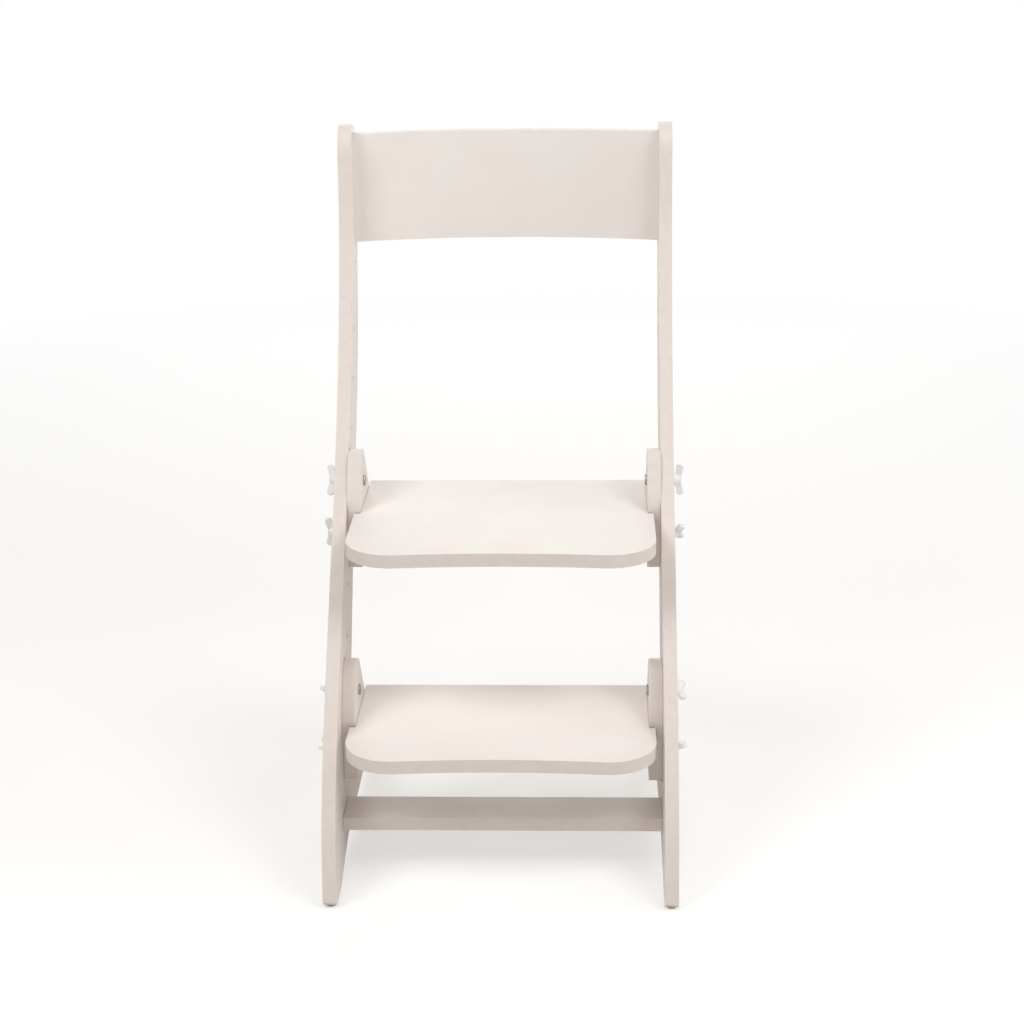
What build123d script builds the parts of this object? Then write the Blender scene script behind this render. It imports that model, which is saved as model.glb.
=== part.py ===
from build123d import *
import math
import os

# Growing chair for children. Millimetres, +Z up, the sitter faces -Y, left and right as seen
# from the front. Depths are measured back from the front foot, heights up from the floor.

# Side panels
chair_width = 412.0          # over the two panels
panel_thickness = 16.0
chair_height = 839.0
base_length = 490.0          # from the front foot to the rear foot
top_setback = 428.0          # how far the top leans back behind the front foot
top_width = 63.0
top_front_round = 33.0
top_front_lean = 0.12        # run for each rise of the front edge where its round top begins
glide_height = 3.0
foot_length = 46.0
foot_round = 6.0
arch_height = 25.0           # rise of the arch between the feet, above their soles
arch_ramp = 92.0
arch_round = 150.0
sole_round = 30.0
tail_height = 50.0           # height of the rear foot
tail_round = 22.0
hook_end_depth = 306.0       # where the hollow above the rear foot runs out into its top edge
hook_end_height = 84.0
hook_end_slope = -0.28
tail_slope = -0.12           # slope at the end of the rear foot's top edge

# The S of the front edge and of the rear edge, as depth and height
front_edge = [(37.0, 135.0), (133.0, 273.0), (255.0, 423.0), (370.0, 603.0), (410.0, 703.0)]
rear_edge = [(224.0, 203.0), (278.0, 303.0), (356.0, 433.0), (429.0, 563.0)]
shoulder_drop = 56.0         # last point of the rear edge below the top of the panel
rear_shoulder = 4.0          # how far it lies in front of the top's own rear edge
hook_depth = 213.0           # the narrowest place, above the rear foot
hook_height = 158.0

# Row of adjustment holes, straight and leaning back
hole_radius = 3.5
hole_count = 9
hole_pitch = 64.6
hole_lean = 30.9             # degrees from upright
first_hole_depth = 131.3
first_hole_height = 150.5
seat_hole = 5                # hole of the upper seat bolt, counted from 0 at the bottom
footrest_hole = 1
clamp_spacing = 1            # holes between the two bolts of a bracket
spare_hole_radius = 2.5
spare_hole_setback = 9.0     # behind the top's front edge
spare_hole_drop = 168.0      # below the top

# Boards, measured from the axis of the upper bolt
board_thickness = 16.0
board_drop = 26.3            # top of the board below the bolt
board_shoulder = 51.0        # where the wide front part begins, in front of the bolt
board_side_gap = 9.0         # wide front part to the panel
seat_reach = 141.5           # front part, from the shoulder to the middle of the front edge
footrest_reach = 87.0
seat_back = 79.0             # rear edge behind the bolt
footrest_back = 73.0
front_hollow = 12.0          # the front edge is a shallow arc between its corners
front_corner_round = 55.0
back_corner_round = 4.0

# Brackets, outline measured from the upper bolt, the foot from the lower bolt
bracket_thickness = 16.0
bracket_front = 49.0
bracket_knee = 12.0
bracket_foot = 42.5
bracket_tip_depth = 3.0
bracket_tip_height = 59.3
bracket_back = 70.0
bracket_back_drop = 44.0
bracket_heel = 38.0
bracket_rounds = [6.0, 45.0, 25.0, 20.0, 12.0]

# Backrest, bent board
backrest_height = 133.0
backrest_thickness = 16.0
backrest_hollow = 26.0       # depth of the bend between the panels, measured level
backrest_lean = 6.0
backrest_setback = 22.0      # front face behind the front edge of the panels' top
backrest_top_gap = 12.0      # top edge below the top of the panels

# Crossbar above the front feet
crossbar_depth = 56.0
crossbar_thickness = 16.0
crossbar_setback = 86.0
crossbar_height = 58.0

# Clamping bolts and wing nuts
bolt_radius = 3.0
bolt_head_radius = 6.8
bolt_head_height = 2.5
bolt_head_round = 1.0
bolt_end_chamfer = 0.6
bolt_grip = 8.0              # length of the bolt inside the nut
socket_width = 4.0
socket_depth = 1.8
thread_clearance = 0.05
nut_height = 12.8
nut_span = 38.0
nut_base_radius = 7.5
nut_base_height = 2.4
nut_hub_radius = 5.1
wing_thickness = 5.0
wing_lobe_radius = 4.4
wing_root_radius = 3.0
nut_edge_round = 0.8
insert_radius = 4.0
insert_length = 9.0
insert_seat_clearance = 0.02
nut_crown_height = 1.0       # closed top of the hub above the last full ring
nut_crown_inset = 2.0
nut_turns = {
    "seat_upper_left": -30.0, "seat_upper_right": -6.0,
    "seat_lower_left": 12.0, "seat_lower_right": 50.0,
    "footrest_upper_left": 62.0, "footrest_upper_right": -81.0,
    "footrest_lower_left": 84.0, "footrest_lower_right": 71.0,
}                            # turn of the wings from upright, degrees about +X

# Connecting screws, heads flush
screw_head_radius = 4.9
screw_head_length = 4.0
screw_neck_radius = 3.4
screw_thread_radius = 2.5
screw_length = 48.0
screw_point_length = 5.0
screw_clearance = 0.05
board_screw_places = (-24.0, 36.0)    # behind the upper bolt
backrest_screw_inset = 33.0
crossbar_screw_spacing = 32.0

# Glides
glide_radius = 5.5
glide_inset = 12.0           # middle of a glide, from the end of the foot
glide_pin_radius = 1.5
glide_pin_length = 9.0
glide_edge_round = 0.8

panel_outside = chair_width / 2
panel_face = panel_outside - panel_thickness
bracket_face = panel_face - bracket_thickness
on_base = (Align.CENTER, Align.CENTER, Align.MIN)
backrest_angle = math.radians(backrest_lean)
backrest_rear = top_setback + backrest_setback
backrest_rear += backrest_height * math.sin(backrest_angle) / 2
backrest_rear += backrest_hollow + backrest_thickness
chair_depth = max(base_length, top_setback + top_width, backrest_rear)


def back(depth):
    """Y of a depth that is measured back from the front foot."""
    return depth - chair_depth / 2


def hole_place(number):
    """Depth and height of an adjustment hole, counted from 0 at the bottom."""
    run = number * hole_pitch
    lean = math.radians(hole_lean)
    return first_hole_depth + run * math.sin(lean), first_hole_height + run * math.cos(lean)


def closed(curves):
    """One closed wire from curves that meet end to end."""
    return Wire([edge for curve in curves for edge in curve.edges()])


def side_face(outline):
    """Face of a closed outline whose points are depth and height, in the plane X = 0."""
    return Face(Plane.YZ * outline)


def rod(radius, length, x, depth, height):
    """Cylinder along +X from x."""
    bar = Cylinder(radius, length, align=on_base)
    return Pos(x, back(depth), height) * Rot(0, 90, 0) * bar


def panel_outline():
    """S-shaped side panel with a round top, an arch between the feet and a long rear foot."""
    sole = glide_height
    top = chair_height
    top_middle = top_setback + top_front_round
    top_rear = top_setback + top_width
    top_rear_round = top_width - top_front_round
    front = [(0.0, sole + foot_round)] + front_edge + [(top_setback, top - top_front_round)]
    rear = [(top_rear, top - top_rear_round), (top_rear - rear_shoulder, top - shoulder_drop)]
    rear += reversed(rear_edge)
    rear += [(hook_depth, hook_height)]
    hook_end = (hook_end_depth, hook_end_height)
    tail_end = (base_length - tail_round, sole + tail_height)
    toe = (base_length, sole + foot_round)
    rear_foot = base_length - foot_length
    arch_top = sole + arch_height
    feet = [
        (base_length - foot_round, sole), (rear_foot, sole), (rear_foot - arch_ramp, arch_top),
        (foot_length + arch_ramp, arch_top), (foot_length, sole), (foot_round, sole),
    ]
    front_way = (top_front_lean, 1)
    hook_way = (1, hook_end_slope)
    tail_way = (1, tail_slope)

    def at(*points):
        return [(back(depth), height) for depth, height in points]

    return closed([
        Spline(at(*front), tangents=[(0.1, 1), front_way]),
        Spline(at(front[-1], (top_middle, top)), tangents=[front_way, (1, 0)]),
        TangentArc(*at((top_middle, top), rear[0]), tangent=(1, 0)),
        Spline(at(*rear), tangents=[(0, -1), (0, -1)]),
        Spline(at(rear[-1], hook_end), tangents=[(0, -1), hook_way]),
        Spline(at(hook_end, tail_end), tangents=[hook_way, tail_way]),
        Spline(at(tail_end, toe), tangents=[tail_way, (0.05, -1)]),
        Line(*at(toe, feet[0])),
        FilletPolyline(*at(*feet), radius=[sole_round, arch_round, arch_round, sole_round]),
        Line(*at(feet[-1], front[0])),
    ])


def side_panel():
    """Left panel, drilled for the bolts, the spare hole, the screws and the glides."""
    panel = extrude(side_face(panel_outline()), panel_thickness, dir=(-1, 0, 0))
    panel = Pos(-panel_face, 0, 0) * panel
    for number in range(hole_count):
        panel -= rod(hole_radius, panel_thickness, -panel_outside, *hole_place(number))
    spare_hole = (top_setback + spare_hole_setback, chair_height - spare_hole_drop)
    panel -= rod(spare_hole_radius, panel_thickness, -panel_outside, *spare_hole)
    for place in backrest_screw_places() + crossbar_screw_places():
        panel -= screw(-panel_outside, *place, panel_thickness, screw_clearance)
    for glide in glides_of_left_panel():
        panel -= glide_pin(glide, screw_clearance)
    return panel


def board_outline(reach, rear):
    """T-shaped board around the axis of its upper bolt: wide in front, narrow between brackets."""
    wide = panel_face - board_side_gap
    corner = -board_shoulder - reach - front_hollow
    front = ThreePointArc((-wide, corner), (0, -board_shoulder - reach), (wide, corner))
    rest = Polyline(
        (wide, corner), (wide, -board_shoulder), (bracket_face, -board_shoulder),
        (bracket_face, rear), (-bracket_face, rear),
        (-bracket_face, -board_shoulder), (-wide, -board_shoulder), (-wide, corner),
    )
    face = Face(closed([front, rest]))
    corners = face.vertices().group_by(Axis.Y)[0]
    face = face.fillet_2d(front_corner_round, corners)
    corners = face.vertices().group_by(Axis.Y)[-1]
    return face.fillet_2d(back_corner_round, corners)


def board(hole, reach, rear):
    """Seat or footrest board, drilled in its edges for the screws of its brackets."""
    depth, height = hole_place(hole)
    top = height - board_drop
    solid = extrude(board_outline(reach, rear), board_thickness, dir=(0, 0, -1))
    solid = Pos(0, back(depth), top) * solid
    for place in board_screw_places:
        level = top - board_thickness / 2
        hit = screw(-panel_face, depth + place, level, bracket_thickness, screw_clearance)
        solid -= hit
        solid -= mirror(hit, about=Plane.YZ)
    return solid


def bracket(hole):
    """Left bracket: a rounded gusset that stands on both bolts and carries the board."""
    depth, height = hole_place(hole)
    bottom = hole_place(hole - clamp_spacing)[1] - bracket_foot - height
    corners = [
        (-bracket_front, bottom), (-bracket_front, -bracket_knee),
        (-bracket_tip_depth, bracket_tip_height), (bracket_back, -bracket_back_drop),
        (bracket_heel, bottom),
    ]
    points = [(back(depth) + y, height + z) for y, z in corners]
    outline = FilletPolyline(*points, radius=bracket_rounds, close=True)
    solid = extrude(side_face(outline), bracket_thickness, dir=(-1, 0, 0))
    solid = Pos(-bracket_face, 0, 0) * solid
    for number in (hole, hole - clamp_spacing):
        solid -= rod(hole_radius, bracket_thickness, -panel_face, *hole_place(number))
    for place in board_screw_places:
        level = height - board_drop - board_thickness / 2
        solid -= screw(-panel_face, depth + place, level, bracket_thickness, screw_clearance)
    return solid


def backrest_rise(distance):
    """Way up along the leaning backrest."""
    angle = math.radians(backrest_lean)
    return Vector(0, distance * math.sin(angle), distance * math.cos(angle))


def backrest_corner():
    """Middle of the backrest's lower edge, between the ends of its front face."""
    up = backrest_rise(backrest_height)
    depth = top_setback + backrest_setback - up.Y / 2
    return Vector(0, back(depth), chair_height - backrest_top_gap - up.Z)


def backrest_middle(x):
    """Distance of the bent board's middle layer behind the ends of its front face."""
    bend = (panel_face**2 + backrest_hollow**2) / (2 * backrest_hollow)
    layer = bend + backrest_thickness / 2
    return backrest_hollow - bend + math.sqrt(layer**2 - x**2)


def backrest():
    """Leaning board with a level bend, hollow towards the sitter, flat against the panels."""
    bend = (panel_face**2 + backrest_hollow**2) / (2 * backrest_hollow)
    outer = bend + backrest_thickness
    rear_end = backrest_hollow - bend + math.sqrt(outer**2 - panel_face**2)
    left, right = -panel_face, panel_face
    outline = closed([
        ThreePointArc((left, 0), (0, backrest_hollow), (right, 0)),
        Line((right, 0), (right, rear_end)),
        ThreePointArc((right, rear_end), (0, backrest_hollow + backrest_thickness),
                      (left, rear_end)),
        Line((left, rear_end), (left, 0)),
    ])
    face = Pos(backrest_corner()) * Face(outline)
    solid = extrude(face, backrest_height, dir=backrest_rise(1.0))
    for place in backrest_screw_places():
        hit = screw(-panel_outside, *place, panel_thickness, screw_clearance)
        solid -= hit
        solid -= mirror(hit, about=Plane.YZ)
    return solid


def backrest_screw_places():
    """Depth and height of the two screws at an end, in the board's middle layer."""
    reach = panel_face - (screw_length - panel_thickness) / 2
    places = []
    for up in (backrest_screw_inset, backrest_height - backrest_screw_inset):
        point = backrest_corner() + backrest_rise(up)
        places.append((point.Y + backrest_middle(reach) + chair_depth / 2, point.Z))
    return places


def crossbar():
    """Flat bar between the panels, drilled at both ends."""
    corner = (Align.CENTER, Align.MIN, Align.MIN)
    bar = Box(2 * panel_face, crossbar_depth, crossbar_thickness, align=corner)
    bar = Pos(0, back(crossbar_setback), crossbar_height) * bar
    for place in crossbar_screw_places():
        hit = screw(-panel_outside, *place, panel_thickness, screw_clearance)
        bar -= hit
        bar -= mirror(hit, about=Plane.YZ)
    return bar


def crossbar_screw_places():
    middle = crossbar_setback + crossbar_depth / 2
    level = crossbar_height + crossbar_thickness / 2
    half = crossbar_screw_spacing / 2
    return [(middle - half, level), (middle + half, level)]


def screw(x, depth, height, sheet, clearance=0.0):
    """Connecting screw along +X through a sheet, flush head at x; with a clearance, its hole."""
    head = screw_head_radius + clearance
    neck = screw_neck_radius + clearance
    thread = screw_thread_radius + clearance
    end = screw_length + clearance
    outline = Polyline(
        (0, 0), (head, 0), (neck, screw_head_length), (neck, sheet), (thread, sheet),
        (thread, end - screw_point_length), (0, end), close=True,
    )
    solid = revolve(Face(Plane.XZ * Wire(outline.edges())), Axis.Z)
    if clearance == 0.0:
        solid -= hexagon_socket()
    return Pos(x, back(depth), height) * Rot(0, 90, 0) * solid


def hexagon_socket():
    """Hexagon recess in a head whose face is at Z = 0."""
    return extrude(RegularPolygon(socket_width / 2, 6, major_radius=False), socket_depth)


def screws(places, x, sheet):
    """The same screws from both sides."""
    left = [screw(x, *place, sheet) for place in places]
    return Compound(left + [mirror(one, about=Plane.YZ) for one in left])


def board_screws(hole):
    depth, height = hole_place(hole)
    level = height - board_drop - board_thickness / 2
    places = [(depth + place, level) for place in board_screw_places]
    return screws(places, -panel_face, bracket_thickness)


def bolt(hole):
    """Left clamping bolt: low round head on the bracket, shank through bracket and panel."""
    reach = bracket_thickness + panel_thickness + bolt_grip
    head = Cylinder(bolt_head_radius, bolt_head_height, align=on_base)
    head = fillet(head.edges().group_by(Axis.Z)[0], bolt_head_round)
    head -= hexagon_socket()
    shank = Cylinder(bolt_radius, reach, align=on_base)
    shank = chamfer(shank.edges().group_by(Axis.Z)[-1], bolt_end_chamfer)
    solid = head + Pos(0, 0, bolt_head_height) * shank
    depth, height = hole_place(hole)
    inside = -bracket_face + bolt_head_height
    return Pos(inside, back(depth), height) * Rot(0, -90, 0) * solid


def wing_nut(hole, turn):
    """Left wing nut: tapered closed hub with two lobed wings, pocketed for its insert."""
    hub_height = insert_length + nut_crown_height
    hub = Polyline(
        (0, 0), (nut_base_radius, 0), (nut_base_radius, nut_base_height),
        (nut_hub_radius, hub_height - nut_crown_height),
        (nut_hub_radius - nut_crown_inset, hub_height), (0, hub_height), close=True,
    )
    hub = revolve(Face(Plane.XZ * Wire(hub.edges())), Axis.Z)
    lobe = nut_height - wing_lobe_radius
    reach = nut_span / 2 - wing_lobe_radius
    root = nut_base_height + wing_root_radius
    flat = make_hull([
        Pos(-reach, lobe) * Circle(wing_lobe_radius).edge(),
        Pos(0, root) * Circle(wing_root_radius).edge(),
    ])
    flat += make_hull([
        Pos(reach, lobe) * Circle(wing_lobe_radius).edge(),
        Pos(0, root) * Circle(wing_root_radius).edge(),
    ])
    wings = extrude(Plane.XZ * flat, wing_thickness / 2, both=True)
    wings = fillet(wings.edges().filter_by(GeomType.CIRCLE), nut_edge_round)
    solid = hub + wings
    solid -= Cylinder(insert_radius + insert_seat_clearance, insert_length, align=on_base)
    return nut_place(hole, turn) * solid


def wing_insert(hole, turn):
    """Left threaded insert, moulded into the nut."""
    body = Cylinder(insert_radius, insert_length, align=on_base)
    body -= Cylinder(bolt_radius + thread_clearance, insert_length, align=on_base)
    return nut_place(hole, turn) * body


def nut_place(hole, turn):
    """Seat of a nut on the outer face of the left panel, its wings turned from upright."""
    depth, height = hole_place(hole)
    return Pos(-panel_outside, back(depth), height) * Rot(turn, 0, 0) * Rot(0, -90, 0)


def glides_of_left_panel():
    """Depths of the two glides, near the ends of the feet."""
    return [glide_inset, base_length - glide_inset]


def glide_pin(depth, clearance=0.0):
    pin = Cylinder(glide_pin_radius + clearance, glide_pin_length + clearance, align=on_base)
    return Pos(-panel_face - panel_thickness / 2, back(depth), glide_height) * pin


def glides(depth):
    """One glide under each panel: a low disc with a pin into the sole."""
    disc = Cylinder(glide_radius, glide_height, align=on_base)
    disc = fillet(disc.edges().group_by(Axis.Z)[0], glide_edge_round)
    left = Pos(-panel_face - panel_thickness / 2, back(depth), 0) * disc + glide_pin(depth)
    return Compound([left, mirror(left, about=Plane.YZ)])


def both_sides(name, left):
    """A left piece and its mirror image."""
    return {name + "_left": left, name + "_right": mirror(left, about=Plane.YZ)}


def clamp(place, hole):
    """Bolt, wing nut and insert at both ends of one hole's axis."""
    pieces = both_sides(place + "_bolt", bolt(hole))
    for side in ("left", "right"):
        turn = nut_turns[place + "_" + side]
        nut, insert = wing_nut(hole, turn), wing_insert(hole, turn)
        if side == "right":
            nut, insert = mirror(nut, about=Plane.YZ), mirror(insert, about=Plane.YZ)
        pieces[place + "_wing_nut_" + side] = nut
        pieces[place + "_insert_" + side] = insert
    return pieces


def chair():
    front_glide, rear_glide = glides_of_left_panel()
    pieces = both_sides("side_panel", side_panel())
    pieces["backrest"] = backrest()
    pieces["lower_crossbar"] = crossbar()
    pieces["seat_board"] = board(seat_hole, seat_reach, seat_back)
    pieces["footrest_board"] = board(footrest_hole, footrest_reach, footrest_back)
    pieces.update(both_sides("seat_bracket", bracket(seat_hole)))
    pieces.update(both_sides("footrest_bracket", bracket(footrest_hole)))
    pieces.update(clamp("seat_upper", seat_hole))
    pieces.update(clamp("seat_lower", seat_hole - clamp_spacing))
    pieces.update(clamp("footrest_upper", footrest_hole))
    pieces.update(clamp("footrest_lower", footrest_hole - clamp_spacing))
    pieces["backrest_screws"] = screws(backrest_screw_places(), -panel_outside, panel_thickness)
    pieces["crossbar_screws"] = screws(crossbar_screw_places(), -panel_outside, panel_thickness)
    pieces["seat_bracket_screws"] = board_screws(seat_hole)
    pieces["footrest_bracket_screws"] = board_screws(footrest_hole)
    pieces["front_glides"] = glides(front_glide)
    pieces["rear_glides"] = glides(rear_glide)
    return pieces


os.makedirs("parts", exist_ok=True)
for name, shape in chair().items():
    export_step(shape, "parts/" + name + ".step")
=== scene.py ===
import math

import bpy
from mathutils import Matrix, Vector

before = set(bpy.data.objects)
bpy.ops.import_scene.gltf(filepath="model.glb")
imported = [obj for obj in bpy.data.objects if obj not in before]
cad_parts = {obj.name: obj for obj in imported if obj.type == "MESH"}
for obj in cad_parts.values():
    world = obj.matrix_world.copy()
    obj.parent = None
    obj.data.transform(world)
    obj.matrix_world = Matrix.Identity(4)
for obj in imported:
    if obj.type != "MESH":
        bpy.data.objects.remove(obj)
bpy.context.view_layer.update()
print("growing chair: frame loaded,", len(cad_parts), "parts")

sides = ("left", "right")
clampPlaces = ("seat_upper", "seat_lower", "footrest_upper", "footrest_lower")


# helpers for node trees

def newMaterial(name):
    material = bpy.data.materials.new(name)
    material.use_nodes = True
    shader = material.node_tree.nodes["Principled BSDF"]
    return material, material.node_tree, shader


def addNode(tree, kind, **settings):
    node = tree.nodes.new(kind)
    for key, value in settings.items():
        if key in node.inputs:
            node.inputs[key].default_value = value
        else:
            setattr(node, key, value)
    return node


def objectPoint(tree, scale=(1.0, 1.0, 1.0)):
    # place on the part itself, stretched by scale
    coords = addNode(tree, "ShaderNodeTexCoord")
    stretch = addNode(tree, "ShaderNodeMapping")
    stretch.inputs["Scale"].default_value = scale
    tree.links.new(coords.outputs["Object"], stretch.inputs["Vector"])
    return stretch.outputs["Vector"]


def noise(tree, point, size, detail=3.0, roughness=0.5):
    # size is the width of one blotch in metres
    node = addNode(tree, "ShaderNodeTexNoise", Scale=1.0 / size, Detail=detail, Roughness=roughness)
    tree.links.new(point, node.inputs["Vector"])
    return node.outputs["Fac"]


def spread(tree, value, low, high, start=0.3, end=0.7):
    # stretches a value from start-end to low-high, by default the middle of a noise
    node = addNode(tree, "ShaderNodeMapRange")
    node.inputs["From Min"].default_value = start
    node.inputs["From Max"].default_value = end
    node.inputs["To Min"].default_value = low
    node.inputs["To Max"].default_value = high
    tree.links.new(value, node.inputs["Value"])
    return node.outputs["Result"]


# a colour mix has several sockets of one name, so they are taken by their place
mixSocket = {"factor": 0, "first": 6, "second": 7, "blend": 2}


def blendColours(tree, factor, first, second):
    node = addNode(tree, "ShaderNodeMix", data_type="RGBA")
    for place, colour in (("first", first), ("second", second)):
        socket = node.inputs[mixSocket[place]]
        if isinstance(colour, tuple):
            socket.default_value = (*colour, 1.0)
        else:
            tree.links.new(colour, socket)
    tree.links.new(factor, node.inputs[mixSocket["factor"]])
    return node.outputs[mixSocket["blend"]]


def cloudColour(tree, shader, point, finish):
    clouds = spread(tree, noise(tree, point, *finish["clouds"]), 0.0, 1.0)
    colour = blendColours(tree, clouds, finish["body"], finish["shade"])
    tree.links.new(colour, shader.inputs["Base Color"])


def cloudRoughness(tree, shader, point, finish):
    roughness = spread(tree, noise(tree, point, *finish["dulling"]), *finish["rough"])
    tree.links.new(roughness, shader.inputs["Roughness"])


def addBump(tree, shader, heights):
    # heights are (value, depth in metres) pairs, laid one on the other
    normal = None
    for value, depth in heights:
        node = addNode(tree, "ShaderNodeBump", Strength=1.0, Distance=depth)
        tree.links.new(value, node.inputs["Height"])
        if normal is not None:
            tree.links.new(normal, node.inputs["Normal"])
        normal = node.outputs["Normal"]
    tree.links.new(normal, shader.inputs["Normal"])


# finishes, where a noise is its blotch in metres, its detail and its roughness

paint = {
    "body": (0.838, 0.776, 0.736),      # warm off-white, satin
    "light": (0.856, 0.800, 0.764),
    "clouds": (0.09, 4.0),              # faint cloudiness of the faces
    "edge": (0.775, 0.694, 0.644),      # painted shade: the edges of a sheet are coloured darker and warmer than its faces
    "edgeTurn": (0.15, 0.85),           # edge up to the first, sheet face from the second
    "patches": (0.012, 5.0, 0.6),       # where the painted edge shade is weaker
    "patchLeast": 0.55,
    "paintedCreviceShade": (0.26, 0.20, 0.16),          # painted shade: dark line where two boards meet, drawn from the ambient occlusion
    "creviceShadeReach": 0.0035,
    "creviceShadeSamples": 8,
    "creviceShadeOpenness": (0.40, 0.66),        # the painted shade is full at the first, gone at the second
    "gloss": 0.32,
    "rough": (0.44, 0.54),
    "dulling": (0.03, 3.0),
    "brush": 0.0007,                    # width of the sanding marks along a board
    "brushStretch": 14.0,               # their length in widths
    "brushDetail": 2.0,
    "brushDepth": 0.00002,
    "peel": (0.0016, 2.0),              # orange peel of the spray coat
    "peelDepth": 0.000035,
}


def makePaint(name, flatAxis, longAxis):
    # flatAxis is across the sheet, longAxis the way that it was sanded
    material, tree, shader = newMaterial(name)
    point = objectPoint(tree)
    clouds = spread(tree, noise(tree, point, *paint["clouds"]), 0.0, 1.0)
    faces = blendColours(tree, clouds, paint["body"], paint["light"])

    # painted shade: faces turned away from the sheet's flat axis, its edges, get the darker, warmer
    # shaded colour
    coords = addNode(tree, "ShaderNodeTexCoord")
    parts = addNode(tree, "ShaderNodeSeparateXYZ")
    tree.links.new(coords.outputs["Normal"], parts.inputs["Vector"])
    across = addNode(tree, "ShaderNodeMath", operation="ABSOLUTE")
    tree.links.new(parts.outputs["XYZ".index(flatAxis)], across.inputs[0])
    edge = spread(tree, across.outputs[0], 1.0, 0.0, *paint["edgeTurn"])
    patches = spread(tree, noise(tree, point, *paint["patches"]), paint["patchLeast"], 1.0)
    edgeShadeMask = addNode(tree, "ShaderNodeMath", operation="MULTIPLY")
    tree.links.new(edge, edgeShadeMask.inputs[0])
    tree.links.new(patches, edgeShadeMask.inputs[1])
    colour = blendColours(tree, edgeShadeMask.outputs[0], faces, paint["edge"])

    # painted shade: ambient occlusion darkens the paint into a dark line in crevices and where parts meet
    openness = addNode(tree, "ShaderNodeAmbientOcclusion", samples=paint["creviceShadeSamples"],
                       Distance=paint["creviceShadeReach"])
    creviceShadeMask = spread(tree, openness.outputs["AO"], 1.0, 0.0, *paint["creviceShadeOpenness"])
    tree.links.new(blendColours(tree, creviceShadeMask, colour, paint["paintedCreviceShade"]), shader.inputs["Base Color"])

    cloudRoughness(tree, shader, point, paint)
    shader.inputs["Specular IOR Level"].default_value = paint["gloss"]

    along = [paint["brushStretch"]] * 3
    along["XYZ".index(longAxis)] = 1.0
    markLength = paint["brush"] * paint["brushStretch"]
    streaks = noise(tree, objectPoint(tree, tuple(along)), markLength, paint["brushDetail"])
    peel = noise(tree, point, *paint["peel"])
    addBump(tree, shader, [(streaks, paint["brushDepth"]), (peel, paint["peelDepth"])])
    return material


plastic = {
    "body": (0.95, 0.95, 0.945),
    "shade": (0.925, 0.925, 0.915),
    "clouds": (0.006, 3.0),
    "rough": (0.30, 0.42),
    "dulling": (0.004, 3.0),
    "milkiness": 0.08,                  # share of the light that goes into the plastic
    "milkReach": (0.004, 0.004, 0.003),
    "milkScale": 0.6,
    "grain": (0.0005, 2.0),
    "grainDepth": 0.00002,
}


def makeNutPlastic():
    material, tree, shader = newMaterial("whitePlastic")
    point = objectPoint(tree)
    cloudColour(tree, shader, point, plastic)
    cloudRoughness(tree, shader, point, plastic)
    shader.inputs["Subsurface Weight"].default_value = plastic["milkiness"]
    shader.inputs["Subsurface Radius"].default_value = plastic["milkReach"]
    shader.inputs["Subsurface Scale"].default_value = plastic["milkScale"]
    addBump(tree, shader, [(noise(tree, point, *plastic["grain"]), plastic["grainDepth"])])
    return material


turnedMetal = {
    "clouds": (0.003, 5.0, 0.6),
    "dulling": (0.0015, 4.0),
    "marks": (0.0004, 1.0),             # turning marks round the bolt's axis
    "marksStretch": (1.0, 0.15, 0.15),
    "marksDepth": 0.00001,
}

steel = {
    **turnedMetal,
    "body": (0.47, 0.44, 0.41),
    "shade": (0.33, 0.30, 0.28),
    "rough": (0.28, 0.42),
}

brass = {
    **turnedMetal,
    "body": (0.78, 0.60, 0.29),
    "shade": (0.62, 0.45, 0.20),
    "rough": (0.25, 0.40),
}


def makeMetal(name, metal):
    material, tree, shader = newMaterial(name)
    point = objectPoint(tree)
    shader.inputs["Metallic"].default_value = 1.0
    cloudColour(tree, shader, point, metal)
    cloudRoughness(tree, shader, point, metal)
    marks = noise(tree, objectPoint(tree, metal["marksStretch"]), *metal["marks"])
    addBump(tree, shader, [(marks, metal["marksDepth"])])
    return material


glide = {
    "body": (0.50, 0.45, 0.40),
    "scuffed": (0.62, 0.57, 0.51),
    "scuffs": (0.0012, 6.0, 0.7),
    "scuffFrom": 0.55,                  # part of the noise that shows as scuffs
    "scuffTo": 0.75,
    "scuffDepth": 0.00003,
    "rough": (0.45, 0.70),
    "dulling": (0.002, 3.0),
}


def makeGlidePlastic():
    material, tree, shader = newMaterial("darkGlide")
    point = objectPoint(tree)
    marks = noise(tree, point, *glide["scuffs"])
    scuffs = spread(tree, marks, 0.0, 1.0, glide["scuffFrom"], glide["scuffTo"])
    colour = blendColours(tree, scuffs, glide["body"], glide["scuffed"])
    tree.links.new(colour, shader.inputs["Base Color"])
    cloudRoughness(tree, shader, point, glide)
    addBump(tree, shader, [(scuffs, glide["scuffDepth"])])
    return material


panelPaint = makePaint("panelPaint", "X", "Z")
boardPaint = makePaint("boardPaint", "Z", "X")
backPaint = makePaint("backPaint", "Y", "X")
whitePlastic = makeNutPlastic()
zincSteel = makeMetal("zincSteel", steel)
turnedBrass = makeMetal("turnedBrass", brass)
darkGlide = makeGlidePlastic()
print("growing chair: finishes made")


# dressing the parts

softEdge = {
    "board": 0.0011,                    # softened edges of the routed boards
    "segments": 2,
    "sharpFrom": 50.0,                  # degrees between two faces that make an edge
}


def soften(obj, width):
    bevel = obj.modifiers.new("softEdges", "BEVEL")
    bevel.width = width
    bevel.segments = softEdge["segments"]
    bevel.limit_method = "ANGLE"
    bevel.angle_limit = math.radians(softEdge["sharpFrom"])
    bevel.harden_normals = True


def dress(node, material, width=0.0):
    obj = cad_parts[node]
    if obj.material_slots:
        for slot in obj.material_slots:
            slot.material = material
    else:
        obj.data.materials.append(material)
    if width:
        soften(obj, width)


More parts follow.
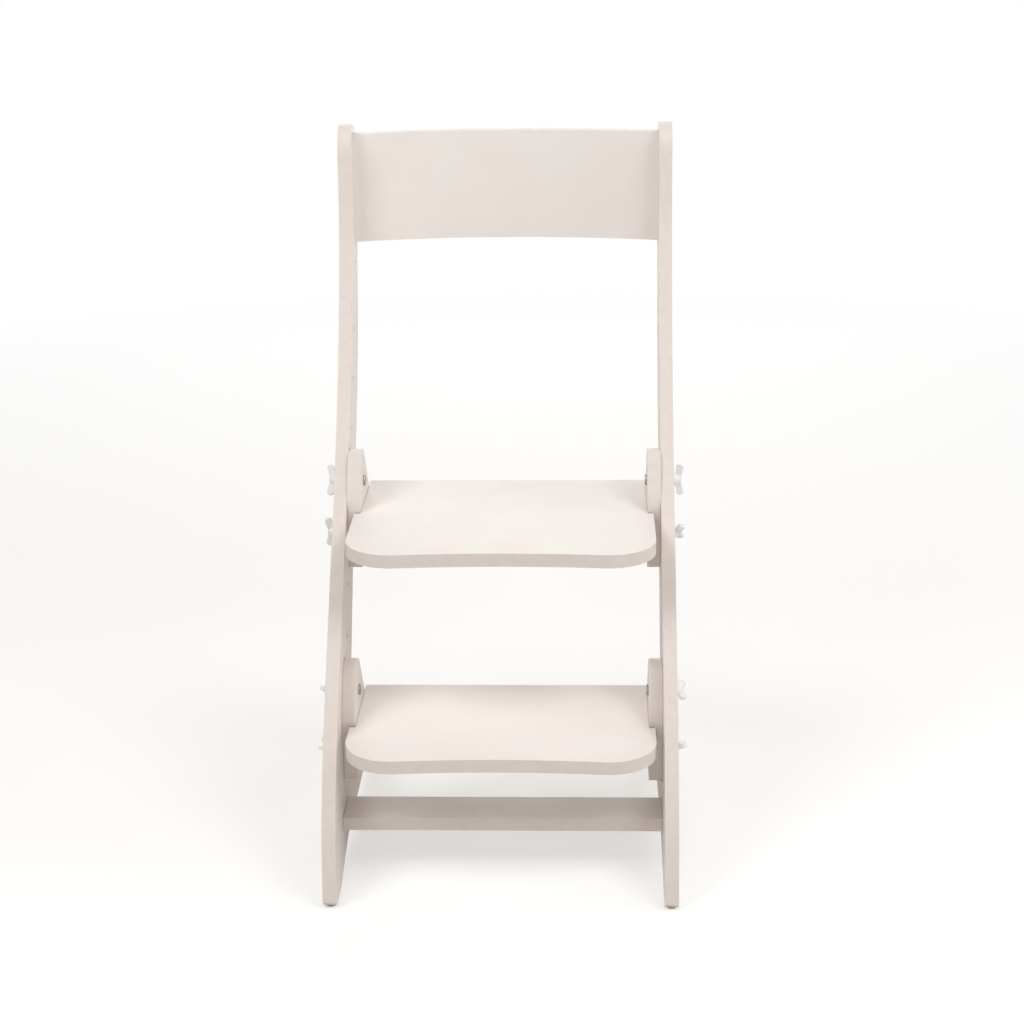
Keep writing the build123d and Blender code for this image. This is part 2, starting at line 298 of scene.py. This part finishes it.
for side in sides:
    for upright in ("side_panel_", "seat_bracket_", "footrest_bracket_"):
        dress(upright + side, panelPaint, softEdge["board"])
    for place in clampPlaces:
        dress(place + "_bolt_" + side, zincSteel)
        dress(place + "_insert_" + side, turnedBrass)
        dress(place + "_wing_nut_" + side, whitePlastic)
for level in ("seat_board", "footrest_board", "lower_crossbar"):
    dress(level, boardPaint, softEdge["board"])
dress("backrest", backPaint, softEdge["board"])
for joined in ("backrest", "crossbar", "seat_bracket", "footrest_bracket"):
    dress(joined + "_screws", zincSteel)
dress("front_glides", darkGlide)
dress("rear_glides", darkGlide)
print("growing chair: parts dressed")


# floor and background

floor = {
    "radius": 3.2,
    "innerRing": 0.8,
    "corners": 96,                      # corners of each ring
    "fadeFrom": 1.1,                    # full floor up to here, then it runs out into white
    "fadeTo": 3.0,
    "colour": (0.86, 0.855, 0.845),
    "rough": 0.9,
    "gloss": 0.1,
    "shade": 0.72,                      # how much of its light and shadow the camera sees
    "glow": 0.46,
    "glowTint": (1.0, 0.99, 0.98),
}


def makeFloor():
    count = floor["corners"]
    corners = [(0.0, 0.0, 0.0)]
    faces = []
    for radius in (floor["innerRing"], floor["radius"]):
        for step in range(count):
            turn = 2.0 * math.pi * step / count
            corners.append((radius * math.cos(turn), radius * math.sin(turn), 0.0))
    for step in range(count):
        after = (step + 1) % count
        faces.append((0, 1 + step, 1 + after))
        faces.append((1 + step, 1 + count + step, 1 + count + after, 1 + after))
    mesh = bpy.data.meshes.new("studioFloor")
    mesh.from_pydata(corners, [], faces)
    obj = bpy.data.objects.new("studioFloor", mesh)
    bpy.context.scene.collection.objects.link(obj)
    return obj


def mixShaders(tree, factor, first, second):
    mix = addNode(tree, "ShaderNodeMixShader")
    if isinstance(factor, float):
        mix.inputs[0].default_value = factor
    else:
        tree.links.new(factor, mix.inputs[0])
    tree.links.new(first, mix.inputs[1])
    tree.links.new(second, mix.inputs[2])
    return mix.outputs[0]


def makeFloorMaterial():
    # plain to the light, brighter to the camera, and clear towards its rim
    material, tree, shader = newMaterial("paleFloor")
    shader.inputs["Base Color"].default_value = (*floor["colour"], 1.0)
    shader.inputs["Roughness"].default_value = floor["rough"]
    shader.inputs["Specular IOR Level"].default_value = floor["gloss"]
    distance = addNode(tree, "ShaderNodeVectorMath", operation="LENGTH")
    tree.links.new(objectPoint(tree), distance.inputs[0])
    away = spread(tree, distance.outputs["Value"], 0.0, 1.0, floor["fadeFrom"], floor["fadeTo"])

    glow = addNode(tree, "ShaderNodeEmission", Strength=floor["glow"], Color=(*floor["glowTint"], 1.0))
    black = addNode(tree, "ShaderNodeEmission", Strength=0.0)
    shown = addNode(tree, "ShaderNodeAddShader")
    tree.links.new(mixShaders(tree, floor["shade"], black.outputs[0], shader.outputs[0]), shown.inputs[0])
    tree.links.new(glow.outputs[0], shown.inputs[1])

    rays = addNode(tree, "ShaderNodeLightPath")
    lit = mixShaders(tree, rays.outputs["Is Camera Ray"], shader.outputs[0], shown.outputs[0])
    clear = addNode(tree, "ShaderNodeBsdfTransparent")
    surface = mixShaders(tree, away, lit, clear.outputs[0])
    tree.links.new(surface, tree.nodes["Material Output"].inputs["Surface"])
    return material


studioFloor = makeFloor()
studioFloor.data.materials.append(makeFloorMaterial())

world = {
    "ambient": 0.30,                    # soft light from all round
    "tint": (1.0, 0.90, 0.82),
    "shown": 1.0,                       # the white that is seen behind the chair
    "shownTint": (1.0, 1.0, 1.0),
}


def makeWorld():
    backdrop = bpy.data.worlds.new("studioWhite")
    backdrop.use_nodes = True
    tree = backdrop.node_tree
    rays = addNode(tree, "ShaderNodeLightPath")
    seen = rays.outputs["Is Camera Ray"]
    for kind in ("Is Glossy Ray", "Is Transmission Ray"):
        either = addNode(tree, "ShaderNodeMath", operation="MAXIMUM")
        tree.links.new(seen, either.inputs[0])
        tree.links.new(rays.outputs[kind], either.inputs[1])
        seen = either.outputs[0]
    background = tree.nodes["Background"]
    strength = spread(tree, seen, world["ambient"], world["shown"], 0.0, 1.0)
    tree.links.new(strength, background.inputs["Strength"])
    tint = blendColours(tree, seen, world["tint"], world["shownTint"])
    tree.links.new(tint, background.inputs["Color"])
    bpy.context.scene.world = backdrop


makeWorld()


# lamps

lamps = {
    "softboxRight": {"at": (1.35, -1.35, 2.6), "size": 1.3, "watts": 27.5},
    "softboxLeft": {"at": (-1.45, -1.35, 2.5), "size": 1.4, "watts": 36.0},
    "sideRight": {"at": (2.6, -0.3, 1.6), "size": 1.5, "watts": 19.0},
    "backdropLight": {"at": (0.0, 2.5, 1.3), "size": 2.2, "watts": 18.0},
}
lampTint = (0.95, 0.985, 1.0)
lookAt = Vector((0.0, 0.0, 0.45))       # about the middle of the chair

for name, setting in lamps.items():
    light = bpy.data.lights.new(name, "AREA")
    light.shape = "SQUARE"
    light.size = setting["size"]
    light.energy = setting["watts"]
    light.color = lampTint
    lamp = bpy.data.objects.new(name, light)
    lamp.location = setting["at"]
    lamp.rotation_euler = (lookAt - lamp.location).to_track_quat("-Z", "Y").to_euler()
    bpy.context.scene.collection.objects.link(lamp)
print("growing chair: floor, background and lamps set")


# camera, solved from the panel edges, boards and bolts

view = {
    "at": (0.09913, -2.28973, 1.18613),
    "lens": 70.42,
    "sensor": 36.0,
    "down": 18.89,                      # degrees below level
    "turn": 2.225,                      # degrees to the left
    "roll": -0.795,
    "farthest": 60.0,
}

camera = bpy.data.objects.new("photoCamera", bpy.data.cameras.new("photoCamera"))
camera.data.lens = view["lens"]
camera.data.sensor_fit = "HORIZONTAL"
camera.data.sensor_width = view["sensor"]
camera.data.clip_end = view["farthest"]
turned = Matrix.Rotation(math.radians(view["turn"]), 4, "Z")
tilted = Matrix.Rotation(math.radians(90.0 - view["down"]), 4, "X")
rolled = Matrix.Rotation(math.radians(view["roll"]), 4, "Z")
camera.matrix_world = Matrix.Translation(view["at"]) @ turned @ tilted @ rolled
bpy.context.scene.collection.objects.link(camera)
bpy.context.scene.camera = camera
bpy.context.scene.view_settings.view_transform = "Standard"
print("growing chair: camera set")
